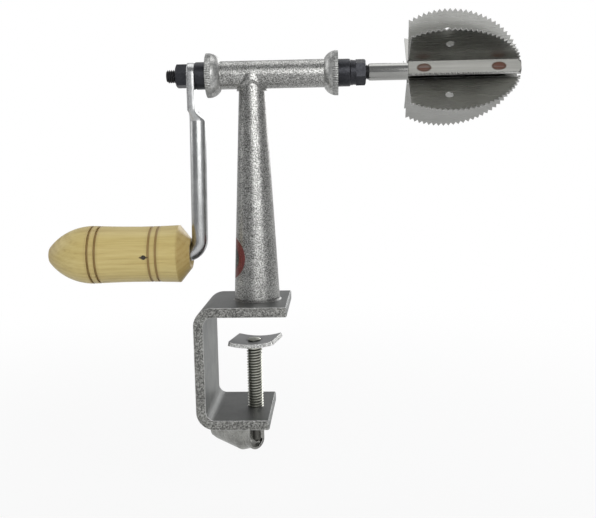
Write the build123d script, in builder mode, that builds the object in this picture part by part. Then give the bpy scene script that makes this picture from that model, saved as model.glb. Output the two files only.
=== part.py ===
"""Hand crank coconut grater: a domed cutter on a cranked spindle, carried by a table clamp.

Frame: X runs along the spindle towards the cutter, -Y is the side the photograph shows and Z is
up. The origin is where the clamp screw's axis meets the underside of the upper clamp arm, which
is the face that rests on the table top. All sizes are in millimetres.
"""
from build123d import *
from math import asin, ceil, cos, degrees, radians, sin, sqrt
import os

os.makedirs("parts", exist_ok=True)

# ------------------------------------------------------------------ driving dimensions
# Clamp strap: one flat bar bent into a C.
STRAP_WIDTH = 60.0
STRAP_THICK = 6.0
STRAP_INNER_BEND = 5.5
STRAP_EDGE_BREAK = 0.6
JAW_OPENING = 64.5
THROAT = 28.0               # screw axis to the inner face of the strap's back
UPPER_REACH = 23.0          # screw axis to the upper arm's tip
LOWER_REACH = 11.0          # screw axis to the lower arm's tip

# Post, bearing tube and their welds.
POST_OFFSET = 2.8           # post axis from the screw axis
POST_FOOT_D = 29.0
POST_HEAD_D = 15.4
POST_WALL = 2.0
SPINDLE_HEIGHT = 146.2      # spindle axis above the table face
TUBE_D = 17.0
TUBE_WALL = 2.0
TUBE_LEFT = 19.1            # post axis to the tube's end, crank side
TUBE_RIGHT = 44.8           # post axis to the tube's end, cutter side
FOOT_WELD = 1.0
HEAD_WELD = 1.3

# Pressed cups, balls and cages.
CUP_DEPTH = 8.4
CUP_WALL = 1.8
CUP_FLOOR = 2.4
CUP_SPIGOT = 8.0
CUP_START_RISE = 0.5        # flank's start above the tube's surface
CUP_BULGE = 1.0             # flank's crown above its chord
CUP_RIM = 1.6               # straight rim at the mouth
BALL_D = 4.76
BALL_COUNT = 9
BALL_CIRCLE_R = 9.2
RACE_GAP = 0.12
AXLE_GAP = 0.85             # cup's bore round the axle
CAGE_THICK = 1.2
CAGE_GAP = 0.3
CAP_THICK = 0.8
CAP_SINK = 0.3
CAP_GAP = 0.4

# Spindle and what is screwed onto it.
STUD_D = 8.0
THREAD_D = 9.0
MID_D = 8.4
SHAFT_D = 10.3
THREAD_FIT = 0.04
SHAFT_CHAMFER = 0.8
CONE_D = 16.6
CONE_CHAMFER = 0.6
CONE_TAIL = 1.7             # cone's inner end past the ball circle
CONE_OUT_LEFT = 15.6        # tube's end to the cone's outer face, crank side
CONE_OUT_RIGHT = 16.0       # the same, cutter side
KEY_WASHER_D = 15.2
KEY_WASHER_T = 1.3
KEY_WIDTH = 2.4
KEY_DEPTH = 1.1
KEY_FIT = 0.1
SPRING_WASHER_D = 14.8
SPRING_WASHER_T = 1.9
SPRING_WASHER_SPLIT = 1.2
LOCK_NUT_FLATS = 14.0
LOCK_NUT_T = 6.0
LOCK_NUT_TURN = 22.0
THREAD_PAST_NUT = 1.8
CRANK_NUT_FLATS = 13.0
CRANK_NUT_T = 7.2
CRANK_NUT_TURN = -10.0
STUD_PAST_NUT = 6.0
NUT_CHAMFER = 1.2

# Crank: a round rod, flattened to an eye at the top and bent into the grip at the bottom.
CRANK_RADIUS = 110.4
ROD_D = 10.2
ROD_SET = 2.7               # rod axis from the eye's middle plane, towards the cutter
ROD_LEAN = 1.5              # rod's foot from its top, away from the cutter
ROD_BEND_R = 9.0
EYE_THICK = 4.6
EYE_WIDTH = 16.0
EYE_LENGTH = 21.2           # spindle axis to the top of the joggle
JOGGLE_LENGTH = 5.8
ROD_IN_GRIP = 78.0
ROD_CHAMFER = 1.0

# Wooden grip, turned, and the nail that keeps it on the rod.
GRIP_START = 5.4            # rod's axis above the bend to the grip's flat end
GRIP_LENGTH = 91.0
GRIP_FACE_D = 19.0
GRIP_CHAMFER = 7.1          # length of the cone behind the flat end
GRIP_SHOULDER_D = 36.4
GRIP_WAIST_D = 35.4
GRIP_WAIST_AT = 24.4
GRIP_BELLY_D = 36.8
GRIP_NOSE = 30.0            # length of the rounded end
GRIP_END_D = 10.0           # small flat at its tip
GRIP_END_EASE = 1.6
GRIP_BORE_GAP = 0.35
GRIP_MOUTH_D = 16.4         # bell mouth of the bore, clear of the rod's bend
GRIP_MOUTH_L = 4.4
RING_WIDTH = 1.3
RING_DEPTH = 0.7
RING_FIRST = 19.8           # flat end to the first burnt ring
RING_STEP = 4.5             # between the two rings of a pair
RING_PAIRS_APART = 38.0
NAIL_D = 3.0
NAIL_AT = 27.2              # flat end to the nail
NAIL_SINK = 1.0
NAIL_TIP_GAP = 0.4
NAIL_GROOVE_W = 4.2
NAIL_GROOVE_DEPTH = 1.6

# Cutter: four folded blades round the shaft.
BLADE_TURNS = (13.0, 103.0, 193.0, 279.5)   # each web's direction, up from the photographed side
BLADE_THICK = 1.0
BLADE_SEAT = 0.02
WEB_CLEAR = 0.12            # between neighbouring blades at the folds
FOLD_R = 1.4
WING_LEANS = (17.0, 28.0, 28.0, 35.0)    # each blade's wings from its web's normal
CUTTER_BACK = 23.7          # thread's end to the blades' back edge
CUTTER_R = 36.5
CUTTER_REAR = 23.2          # back edge to the widest place
CUTTER_REAR_AXIS = 42.2     # ellipse behind the widest place
CUTTER_FRONT_AXIS = 45.0    # ellipse ahead of it
TOOTH_PITCH = 3.2
TOOTH_DEPTH = 1.8
WING_HOLE_D = 5.0
WING_HOLE_R = 23.0
SHAFT_SHORT = 9.0           # shaft's end behind the cutter's nose

# Clamp screw, swivel pad and thumb lever.
SCREW_D = 10.0
SCREW_FIT = 0.08
PAD_TOP = 20.9              # pad's middle below the table face
PAD_LONG = 29.5
PAD_DEEP = 25.4
PAD_SHIFT = 1.0             # pad's middle from the screw's axis
PAD_TILT = 3.0              # one end of the loose pad stands higher
PAD_THICK = 2.6
PAD_RISE = 2.0              # pad's ends above its middle
PAD_CORNER = 1.5
PAD_TURN = -10.5
NECK_D = 6.0
SWIVEL_GAP = 0.6
RIVET_D = 8.6
RIVET_RISE = 1.2
SCREW_BELOW_ARM = 3.4       # end of the full thread below the lower arm
TENON_D = 5.4
TENON_LENGTH = 15.0
TENON_POINT = 2.1           # chamfer at the tenon's end, clear of the lever's round floor
LEVER_NECK_WIDTH = 12.8     # channel round the screw's end
LEVER_WIDTH = 17.4          # channel under the thumb
LEVER_THICK = 1.5
LEVER_LENGTH = 41.0
LEVER_NECK = 4.0            # length of the narrow channel
LEVER_FLARE = 8.0           # length over which it widens
LEVER_TURN = 132.0          # lever's direction from +X
LEVER_WALL_GAP = 0.05       # tenon to the lever's inner wall
LEVER_BEHIND = 2.6          # near end past the screw's axis
LEVER_NECK_DROP = 22.4      # lower arm's underside to the neck's lowest line
LEVER_DROP = 25.8           # the same, to the lever's lowest line
LEVER_NEAR_GAP = 3.8        # lower arm's underside to the walls round the screw
LEVER_FAR_GAP = 10.0        # lower arm's underside to the walls further out
LEVER_TALL = 9.0            # length of the tall walls
LEVER_SLOPE = 5.0
LEVER_CORNER = 4.0
TACK_D = 2.6
TACK_LENGTH = 9.0

# ------------------------------------------------------------------ places that follow
back_inner_x = -THROAT
lower_top_z = -JAW_OPENING
lower_under_z = -JAW_OPENING - STRAP_THICK

tube_left_x = POST_OFFSET - TUBE_LEFT
tube_right_x = POST_OFFSET + TUBE_RIGHT
tube_bore_r = TUBE_D / 2 - TUBE_WALL

race_r = BALL_D / 2 + RACE_GAP
ball_u = CUP_FLOOR + race_r
cup_mouth_r = BALL_CIRCLE_R + race_r
cup_r = cup_mouth_r + CUP_WALL

cone_left_x = tube_left_x - CONE_OUT_LEFT
cone_right_x = tube_right_x + CONE_OUT_RIGHT
cone_tail_u = ball_u - CONE_TAIL
eye_mid_x = cone_left_x - EYE_THICK / 2
crank_nut_x = cone_left_x - EYE_THICK - CRANK_NUT_T
stud_end_x = crank_nut_x - STUD_PAST_NUT
key_washer_x = cone_right_x
spring_washer_x = key_washer_x + KEY_WASHER_T
lock_nut_x = spring_washer_x + SPRING_WASHER_T
thread_end_x = lock_nut_x + LOCK_NUT_T + THREAD_PAST_NUT

rod_x = eye_mid_x + ROD_SET
joggle_top_z = SPINDLE_HEIGHT - EYE_LENGTH
joggle_low_z = joggle_top_z - JOGGLE_LENGTH
grip_z = SPINDLE_HEIGHT - CRANK_RADIUS
rod_foot_x = rod_x - ROD_LEAN
grip_face_x = rod_foot_x - GRIP_START
nail_x = grip_face_x - NAIL_AT
rod_end_x = grip_face_x - ROD_IN_GRIP

cutter_back_x = thread_end_x + CUTTER_BACK
cutter_wide_x = cutter_back_x + CUTTER_REAR
cutter_nose_x = cutter_wide_x + CUTTER_FRONT_AXIS
shaft_end_x = cutter_nose_x - SHAFT_SHORT

pad_under_z = -PAD_TOP - PAD_THICK
screw_full_end_z = lower_under_z - SCREW_BELOW_ARM
tenon_end_z = screw_full_end_z - TENON_LENGTH
lever_offset = LEVER_NECK_WIDTH / 2 - LEVER_THICK - TENON_D / 2 - LEVER_WALL_GAP

# ------------------------------------------------------------------ axes and working planes
spindle_axis = Axis((0, 0, SPINDLE_HEIGHT), (1, 0, 0))
spindle_section = Plane(origin=(0, 0, SPINDLE_HEIGHT), x_dir=(1, 0, 0), z_dir=(0, -1, 0))
post_axis = Axis((POST_OFFSET, 0, 0), (0, 0, 1))
grip_axis = Axis((0, 0, grip_z), (1, 0, 0))


def facing_x(x, z=SPINDLE_HEIGHT):
    """Plane across X: its own x is Y and its own y is Z."""
    return Plane(origin=(x, 0, z), x_dir=(0, 1, 0), z_dir=(1, 0, 0))


def hub_section(tube_end_x, side):
    """Section plane of a hub: its own x runs outwards from the tube's end, its y is the radius."""
    return Plane(origin=(tube_end_x, 0, SPINDLE_HEIGHT), x_dir=(side, 0, 0), z_dir=(0, -side, 0))


def save(builder, name):
    """Label a finished piece and write its STEP file."""
    builder.part.label = name
    export_step(builder.part, f"parts/{name}.step")


# ------------------------------------------------------------------ clamp strap
with BuildPart() as clamp_strap:
    with BuildSketch(Plane.XZ):
        with BuildLine():
            FilletPolyline(
                (UPPER_REACH, STRAP_THICK / 2),
                (back_inner_x - STRAP_THICK / 2, STRAP_THICK / 2),
                (back_inner_x - STRAP_THICK / 2, lower_top_z - STRAP_THICK / 2),
                (LOWER_REACH, lower_top_z - STRAP_THICK / 2),
                radius=STRAP_INNER_BEND + STRAP_THICK / 2,
            )
        trace(line_width=STRAP_THICK)
    extrude(amount=STRAP_WIDTH / 2, both=True)
    tips = clamp_strap.faces().filter_by(Axis.X).sort_by(Axis.X)[-2:]
    chamfer(tips.edges(), STRAP_EDGE_BREAK)
    with Locations((0, 0, lower_under_z)):
        Cylinder(SCREW_D / 2 + SCREW_FIT, STRAP_THICK, mode=Mode.SUBTRACT,
                 align=(Align.CENTER, Align.CENTER, Align.MIN))
save(clamp_strap, "clamp_strap")


# ------------------------------------------------------------------ post, bearing tube and welds
def post_radius(z):
    """Outer radius of the post at height z, on its straight taper."""
    share = (z - STRAP_THICK) / (SPINDLE_HEIGHT - STRAP_THICK)
    return (POST_FOOT_D + (POST_HEAD_D - POST_FOOT_D) * share) / 2


def make_post_solid(grow):
    """The post's taper as a solid, with its surface moved outwards by grow."""
    with BuildPart() as solid:
        with BuildSketch(Plane(origin=(POST_OFFSET, 0, 0), x_dir=(1, 0, 0), z_dir=(0, -1, 0))):
            Polygon(
                (0, STRAP_THICK), (POST_FOOT_D / 2 + grow, STRAP_THICK),
                (POST_HEAD_D / 2 + grow, SPINDLE_HEIGHT), (0, SPINDLE_HEIGHT), align=None,
            )
        revolve(axis=post_axis)
    return solid


post_outside = make_post_solid(0)
post_inside = make_post_solid(-POST_WALL)
post_with_weld = make_post_solid(HEAD_WELD)

with BuildPart() as tapered_post:
    add(post_outside.part)
    add(post_inside.part, mode=Mode.SUBTRACT)
    with BuildSketch(facing_x(POST_OFFSET)):
        Circle(TUBE_D / 2)
    extrude(amount=POST_FOOT_D, both=True, mode=Mode.SUBTRACT)
save(tapered_post, "tapered_post")

with BuildPart() as bearing_tube:
    with BuildSketch(facing_x(tube_left_x)):
        Circle(TUBE_D / 2)
        Circle(tube_bore_r, mode=Mode.SUBTRACT)
    extrude(amount=TUBE_LEFT + TUBE_RIGHT)
save(bearing_tube, "bearing_tube")

with BuildPart() as post_foot_weld:
    with BuildSketch(Plane(origin=(POST_OFFSET, 0, 0), x_dir=(1, 0, 0), z_dir=(0, -1, 0))):
        Polygon(
            (POST_FOOT_D / 2, STRAP_THICK), (POST_FOOT_D / 2 + FOOT_WELD, STRAP_THICK),
            (post_radius(STRAP_THICK + FOOT_WELD), STRAP_THICK + FOOT_WELD), align=None,
        )
    revolve(axis=post_axis)
save(post_foot_weld, "post_foot_weld")

with BuildPart() as post_head_weld:
    add(post_with_weld.part)
    with BuildSketch(facing_x(POST_OFFSET)):
        Circle(TUBE_D / 2 + HEAD_WELD)
    extrude(amount=POST_FOOT_D, both=True, mode=Mode.INTERSECT)
    add(post_outside.part, mode=Mode.SUBTRACT)
    with BuildSketch(facing_x(POST_OFFSET)):
        Circle(TUBE_D / 2)
    extrude(amount=POST_FOOT_D, both=True, mode=Mode.SUBTRACT)
save(post_head_weld, "post_head_weld")


# ------------------------------------------------------------------ hubs: cup, cap, balls, cage, cone
def make_cup(section):
    """Pressed cup: a spigot in the tube, a floor with the ball race and a flared mouth."""
    start_r = TUBE_D / 2 + CUP_START_RISE
    rim_u = CUP_DEPTH - CUP_RIM
    crown = (rim_u * 0.45, (start_r + cup_r) / 2 + CUP_BULGE)
    with BuildPart() as cup:
        with BuildSketch(section):
            with BuildLine():
                Polyline((0, start_r), (0, tube_bore_r), (-CUP_SPIGOT, tube_bore_r),
                         (-CUP_SPIGOT, THREAD_D / 2 + AXLE_GAP),
                         (CUP_FLOOR, THREAD_D / 2 + AXLE_GAP), (CUP_FLOOR, BALL_CIRCLE_R))
                RadiusArc((CUP_FLOOR, BALL_CIRCLE_R), (ball_u, cup_mouth_r), race_r)
                Polyline((ball_u, cup_mouth_r), (CUP_DEPTH, cup_mouth_r), (CUP_DEPTH, cup_r),
                         (rim_u, cup_r))
                ThreePointArc((rim_u, cup_r), crown, (0, start_r))
            make_face()
        revolve(axis=spindle_axis)
    return cup


def make_cap(section):
    """Dust cap: a thin ring pressed into the cup's mouth, clear of the cone."""
    with BuildPart() as cap:
        with BuildSketch(section):
            inner_r = CONE_D / 2 + CAP_GAP
            with Locations((CUP_DEPTH - CAP_SINK, inner_r)):
                Rectangle(CAP_THICK, cup_mouth_r - inner_r, align=(Align.MAX, Align.MIN))
        revolve(axis=spindle_axis)
    return cap


def make_balls(ball_circle, grow=0.0):
    """The ring of balls, each a solid of its own."""
    with BuildPart() as balls:
        with Locations(ball_circle):
            with PolarLocations(BALL_CIRCLE_R, BALL_COUNT):
                Sphere(BALL_D / 2 + grow)
    return balls


def make_cage(section, balls_with_play):
    """Ball cage: a flat ring on the mouth's side of the balls, with a pocket for each."""
    inner_r = BALL_CIRCLE_R + BALL_D / 4
    outer_r = cup_mouth_r - CAGE_GAP
    with BuildPart() as cage:
        with BuildSketch(section):
            with Locations((CUP_DEPTH - CAP_SINK - CAP_THICK - CAGE_GAP, inner_r)):
                Rectangle(CAGE_THICK, outer_r - inner_r, align=(Align.MAX, Align.MIN))
        revolve(axis=spindle_axis)
        add(balls_with_play.part, mode=Mode.SUBTRACT)
    return cage


def make_cone(section, outer_u):
    """Bearing cone: a barrel with the inner ball race turned into its inner end."""
    reach = sqrt(race_r**2 - (BALL_CIRCLE_R - CONE_D / 2) ** 2)
    bore_r = THREAD_D / 2 + THREAD_FIT
    race_low = (ball_u, BALL_CIRCLE_R - race_r)
    race_mid = (ball_u + race_r * sin(radians(45)), BALL_CIRCLE_R - race_r * cos(radians(45)))
    race_end = (ball_u + reach, CONE_D / 2)
    with BuildPart() as cone:
        with BuildSketch(section):
            with BuildLine():
                Polyline(race_low, (cone_tail_u, BALL_CIRCLE_R - race_r), (cone_tail_u, bore_r),
                         (outer_u, bore_r), (outer_u, CONE_D / 2 - CONE_CHAMFER),
                         (outer_u - CONE_CHAMFER, CONE_D / 2), race_end)
                ThreePointArc(race_end, race_mid, race_low)
            make_face()
        revolve(axis=spindle_axis)
    return cone


hubs = [("left", tube_left_x, -1, CONE_OUT_LEFT), ("right", tube_right_x, 1, CONE_OUT_RIGHT)]
for side_name, tube_end_x, side, cone_out in hubs:
    hub = hub_section(tube_end_x, side)
    ball_circle = facing_x(tube_end_x + side * ball_u)
    save(make_cup(hub), f"cup_{side_name}")
    save(make_cap(hub), f"dust_cap_{side_name}")
    save(make_balls(ball_circle), f"balls_{side_name}")
    save(make_cage(hub, make_balls(ball_circle, CAGE_GAP / 2)), f"ball_cage_{side_name}")
    save(make_cone(hub, cone_out), f"cone_{side_name}")

# ------------------------------------------------------------------ axle
with BuildPart() as axle:
    with BuildSketch(spindle_section):
        left_thread_x = tube_left_x - cone_tail_u
        right_thread_x = tube_right_x + cone_tail_u
        Polygon(
            (stud_end_x, 0), (stud_end_x, STUD_D / 2 - SHAFT_CHAMFER),
            (stud_end_x + SHAFT_CHAMFER, STUD_D / 2), (cone_left_x, STUD_D / 2),
            (cone_left_x, THREAD_D / 2), (left_thread_x, THREAD_D / 2), (left_thread_x, MID_D / 2),
            (right_thread_x, MID_D / 2), (right_thread_x, THREAD_D / 2), (thread_end_x, THREAD_D / 2),
            (thread_end_x, SHAFT_D / 2 - SHAFT_CHAMFER / 2),
            (thread_end_x + SHAFT_CHAMFER, SHAFT_D / 2),
            (shaft_end_x - SHAFT_CHAMFER, SHAFT_D / 2), (shaft_end_x, SHAFT_D / 2 - SHAFT_CHAMFER),
            (shaft_end_x, 0), align=None,
        )
    revolve(axis=spindle_axis)
    with BuildSketch(Plane.XY.offset(SPINDLE_HEIGHT + THREAD_D / 2)):
        with Locations((thread_end_x, 0)):
            Rectangle(thread_end_x - cone_right_x + KEY_WIDTH, KEY_WIDTH,
                      align=(Align.MAX, Align.CENTER))
    extrude(amount=-KEY_DEPTH, mode=Mode.SUBTRACT)
save(axle, "axle")

# ------------------------------------------------------------------ washers and nuts
with BuildPart() as key_washer:
    with BuildSketch(facing_x(key_washer_x)):
        Circle(KEY_WASHER_D / 2)
        Circle(THREAD_D / 2 + THREAD_FIT, mode=Mode.SUBTRACT)
        with Locations((0, THREAD_D / 2 - KEY_DEPTH + KEY_FIT)):
            Rectangle(KEY_WIDTH - 2 * KEY_FIT, KEY_DEPTH, align=(Align.CENTER, Align.MIN))
    extrude(amount=KEY_WASHER_T)
save(key_washer, "key_washer")

with BuildPart() as spring_washer:
    with BuildSketch(facing_x(spring_washer_x)):
        Circle(SPRING_WASHER_D / 2)
        Circle(THREAD_D / 2 + THREAD_FIT, mode=Mode.SUBTRACT)
        Rectangle(SPRING_WASHER_SPLIT, SPRING_WASHER_D, mode=Mode.SUBTRACT,
                  align=(Align.CENTER, Align.MAX))
    extrude(amount=SPRING_WASHER_T)
save(spring_washer, "spring_washer")


def make_nut(x, thick, flats, bore_r, turn, side):
    """Hexagon nut with its corners turned down on the face that looks outwards."""
    corner_r = flats / 2 / cos(radians(30))
    inner_x, outer_x = (x, x + thick) if side > 0 else (x + thick, x)
    with BuildPart() as nut:
        with BuildSketch(facing_x(x)):
            RegularPolygon(flats / 2, 6, major_radius=False, rotation=turn)
            Circle(bore_r, mode=Mode.SUBTRACT)
        extrude(amount=thick)
        with BuildSketch(spindle_section):
            Polygon(
                (inner_x, 0), (inner_x, corner_r), (outer_x - side * NUT_CHAMFER / 2, corner_r),
                (outer_x, corner_r - NUT_CHAMFER), (outer_x, 0), align=None,
            )
        revolve(axis=spindle_axis, mode=Mode.INTERSECT)
    return nut


save(make_nut(lock_nut_x, LOCK_NUT_T, LOCK_NUT_FLATS, THREAD_D / 2 + THREAD_FIT,
              LOCK_NUT_TURN, 1), "lock_nut")
save(make_nut(crank_nut_x, CRANK_NUT_T, CRANK_NUT_FLATS, STUD_D / 2 + THREAD_FIT,
              CRANK_NUT_TURN, -1), "crank_nut")

# ------------------------------------------------------------------ crank arm
with BuildPart() as crank_arm:
    with BuildSketch(facing_x(cone_left_x)):
        Circle(EYE_WIDTH / 2)
        Rectangle(EYE_WIDTH, EYE_LENGTH, align=(Align.CENTER, Align.MAX))
        Circle(STUD_D / 2 + THREAD_FIT, mode=Mode.SUBTRACT)
    extrude(amount=-EYE_THICK)
    with BuildSketch(Plane.XY.offset(joggle_top_z)):
        with Locations((eye_mid_x, 0)):
            Rectangle(EYE_THICK, EYE_WIDTH)
    with BuildSketch(Plane.XY.offset(joggle_low_z)):
        with Locations((rod_x, 0)):
            Circle(ROD_D / 2)
    loft()
    with BuildLine(Plane.XZ) as rod_path:
        FilletPolyline((rod_x, joggle_low_z), (rod_foot_x, grip_z), (rod_end_x, grip_z),
                       radius=ROD_BEND_R)
    with BuildSketch(Plane(origin=(rod_x, 0, joggle_low_z), z_dir=(0, 0, -1))):
        Circle(ROD_D / 2)
    sweep(path=rod_path.line)
    chamfer(crank_arm.faces().sort_by(Axis.X)[0].edges(), ROD_CHAMFER)
    with BuildSketch(Plane(origin=(nail_x, 0, grip_z), x_dir=(1, 0, 0), z_dir=(0, -1, 0))):
        with Locations((0, ROD_D / 2)):
            Rectangle(NAIL_GROOVE_W, NAIL_GROOVE_DEPTH, align=(Align.CENTER, Align.MAX))
    revolve(axis=grip_axis, mode=Mode.SUBTRACT)
save(crank_arm, "crank_arm")

# ------------------------------------------------------------------ wooden grip and its nail
grip_section = Plane(origin=(grip_face_x, 0, grip_z), x_dir=(-1, 0, 0), z_dir=(0, 1, 0))
grip_bore_r = ROD_D / 2 + GRIP_BORE_GAP
grip_bore_end = ROD_IN_GRIP + GRIP_BORE_GAP
with BuildPart() as wooden_grip:
    with BuildSketch(grip_section):
        nose_u = GRIP_LENGTH - GRIP_NOSE
        with BuildLine():
            Polyline((GRIP_LENGTH, 0), (grip_bore_end, 0), (grip_bore_end, grip_bore_r),
                     (GRIP_MOUTH_L, grip_bore_r), (0, GRIP_MOUTH_D / 2), (0, GRIP_FACE_D / 2),
                     (GRIP_CHAMFER, GRIP_SHOULDER_D / 2))
            waist = ThreePointArc((GRIP_CHAMFER, GRIP_SHOULDER_D / 2),
                                  (GRIP_WAIST_AT, GRIP_WAIST_D / 2), (nose_u, GRIP_BELLY_D / 2))
            TangentArc((nose_u, GRIP_BELLY_D / 2), (GRIP_LENGTH, GRIP_END_D / 2), tangent=waist % 1)
            Line((GRIP_LENGTH, GRIP_END_D / 2), (GRIP_LENGTH, 0))
        make_face()
    revolve(axis=grip_axis)
    fillet(wooden_grip.edges().sort_by(Axis.X)[0], GRIP_END_EASE)
    with BuildSketch(grip_section):
        ring_places = [
            (RING_FIRST + pair * RING_PAIRS_APART + ring * RING_STEP, GRIP_BELLY_D / 2)
            for pair in range(2) for ring in range(2)
        ]
        with Locations(ring_places):
            Rectangle(RING_WIDTH, 2 * RING_DEPTH + GRIP_BELLY_D - GRIP_WAIST_D)
    revolve(axis=grip_axis, mode=Mode.SUBTRACT)
    with BuildSketch(Plane(origin=(nail_x, 0, grip_z), x_dir=(1, 0, 0), z_dir=(0, -1, 0))):
        Circle(NAIL_D / 2)
    extrude(amount=GRIP_SHOULDER_D, mode=Mode.SUBTRACT)
save(wooden_grip, "wooden_grip")

with BuildPart() as grip_nail:
    nail_tip_r = ROD_D / 2 - NAIL_GROOVE_DEPTH + NAIL_TIP_GAP
    nail_plane = Plane(origin=(nail_x, -nail_tip_r, grip_z), x_dir=(1, 0, 0), z_dir=(0, -1, 0))
    with BuildSketch(nail_plane):
        Circle(NAIL_D / 2)
    extrude(amount=GRIP_WAIST_D / 2 - NAIL_SINK - nail_tip_r)
save(grip_nail, "grip_nail")

# ------------------------------------------------------------------ cutter blades
rear_angle = degrees(asin(CUTTER_REAR / CUTTER_REAR_AXIS))
with BuildLine() as cutter_outline:
    EllipticalCenterArc((cutter_wide_x, 0), CUTTER_REAR_AXIS, CUTTER_R,
                        start_angle=90 + rear_angle, arc_size=-rear_angle)
    EllipticalCenterArc((cutter_wide_x, 0), CUTTER_FRONT_AXIS, CUTTER_R,
                        start_angle=90, arc_size=-90)


def tooth_points(wire):
    """Tips on the outline and roots inside it, one tooth pitch apart, from back to nose."""
    half_teeth = 2 * ceil(wire.length / TOOTH_PITCH)
    points = []
    for step in range(half_teeth + 1):
        inward = wire.tangent_at(step / half_teeth).rotate(Axis.Z, -90)
        depth = TOOTH_DEPTH if step % 2 else 0
        points.append(wire.position_at(step / half_teeth) + inward * depth)
    return points


with BuildPart() as cutter_envelope:
    with BuildSketch(spindle_section):
        with BuildLine():
            teeth = tooth_points(cutter_outline.wire())
            Polyline(*teeth, (cutter_nose_x, 0), (cutter_back_x, 0), close=True)
        make_face()
    revolve(axis=spindle_axis)

web_r = SHAFT_D / 2 + BLADE_SEAT + BLADE_THICK / 2
share_angle = radians(min(b - a for a, b in zip(BLADE_TURNS, BLADE_TURNS[1:])) / 2)
web_half = (web_r * sin(share_angle) - (BLADE_THICK + WEB_CLEAR) / 2) / cos(share_angle)


def make_blade(turn, lean):
    """Folded blade: a web flat on the shaft and two toothed wings, each with a round hole."""
    wing_along = Vector(cos(radians(lean)), sin(radians(lean)))
    fold_along = Vector(web_r, web_half).dot(wing_along)
    hole_from_fold = sqrt(WING_HOLE_R**2 - web_r**2 - web_half**2 + fold_along**2) - fold_along
    web_way = (0, -cos(radians(turn)), sin(radians(turn)))
    blade_plane = Plane(origin=(cutter_back_x, 0, SPINDLE_HEIGHT), x_dir=web_way, z_dir=(1, 0, 0))
    with BuildPart() as blade:
        with BuildSketch(blade_plane):
            with BuildLine():
                fold = Vector(web_r, web_half)
                tip = fold + wing_along * CUTTER_R
                FilletPolyline((tip.X, tip.Y), (fold.X, fold.Y), (fold.X, -fold.Y),
                               (tip.X, -tip.Y), radius=FOLD_R)
            trace(line_width=BLADE_THICK)
        extrude(amount=CUTTER_REAR + CUTTER_FRONT_AXIS)
        add(cutter_envelope.part, mode=Mode.INTERSECT)
        for wing in (1, -1):
            centre = fold + wing_along * hole_from_fold
            place = blade_plane.from_local_coords((centre.X, wing * centre.Y, CUTTER_REAR))
            across = blade_plane.from_local_coords((-wing_along.Y, wing * wing_along.X, 0))
            drill = Plane(origin=place, z_dir=across - blade_plane.origin)
            with Locations(drill):
                Cylinder(WING_HOLE_D / 2, 4 * BLADE_THICK, mode=Mode.SUBTRACT)
    return blade


for number, (turn, lean) in enumerate(zip(BLADE_TURNS, WING_LEANS)):
    save(make_blade(turn, lean), f"blade_{number + 1}")

# ------------------------------------------------------------------ swivel pad
pad_turn, pad_tilt = radians(PAD_TURN), radians(PAD_TILT)
pad_section = Plane(origin=(0, 0, -PAD_TOP - PAD_THICK / 2), z_dir=(sin(pad_turn), -cos(pad_turn), 0),
                    x_dir=(cos(pad_turn) * cos(pad_tilt), sin(pad_turn) * cos(pad_tilt), sin(pad_tilt)))
with BuildPart() as swivel_pad:
    with BuildSketch(pad_section):
        with BuildLine():
            ThreePointArc((PAD_SHIFT - PAD_LONG / 2, PAD_RISE), (PAD_SHIFT, 0),
                          (PAD_SHIFT + PAD_LONG / 2, PAD_RISE))
        trace(line_width=PAD_THICK)
    extrude(amount=PAD_DEEP / 2, both=True)
    fillet(swivel_pad.edges().filter_by(lambda edge: abs(edge.length - PAD_THICK) < 0.01),
           PAD_CORNER)
    Cylinder(NECK_D / 2 + SCREW_FIT, 4 * PAD_TOP, mode=Mode.SUBTRACT)
save(swivel_pad, "swivel_pad")

# ------------------------------------------------------------------ clamp screw
with BuildPart() as clamp_screw:
    with BuildSketch(Plane.XZ):
        head_z = -PAD_TOP + SWIVEL_GAP
        shoulder_z = pad_under_z - SWIVEL_GAP
        with BuildLine():
            dome_r = ((RIVET_D / 2) ** 2 + RIVET_RISE**2) / (2 * RIVET_RISE)
            Polyline((0, head_z + RIVET_RISE), (0, tenon_end_z),
                     (TENON_D / 2 - TENON_POINT, tenon_end_z),
                     (TENON_D / 2, tenon_end_z + TENON_POINT),
                     (TENON_D / 2, screw_full_end_z), (SCREW_D / 2, screw_full_end_z),
                     (SCREW_D / 2, shoulder_z), (NECK_D / 2, shoulder_z), (NECK_D / 2, head_z),
                     (RIVET_D / 2, head_z))
            RadiusArc((RIVET_D / 2, head_z), (0, head_z + RIVET_RISE), -dome_r)
        make_face()
    revolve(axis=Axis.Z)
save(clamp_screw, "clamp_screw")

# ------------------------------------------------------------------ thumb lever and its tacks
lever_turn = radians(LEVER_TURN)
lever_along = Vector(cos(lever_turn), sin(lever_turn), 0)
lever_across = Vector(sin(lever_turn), -cos(lever_turn), 0)
lever_start = lever_along * -LEVER_BEHIND - lever_across * lever_offset + Vector(0, 0, lower_under_z)
lever_side_plane = Plane(origin=lever_start, x_dir=lever_along, z_dir=-lever_across)


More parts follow.
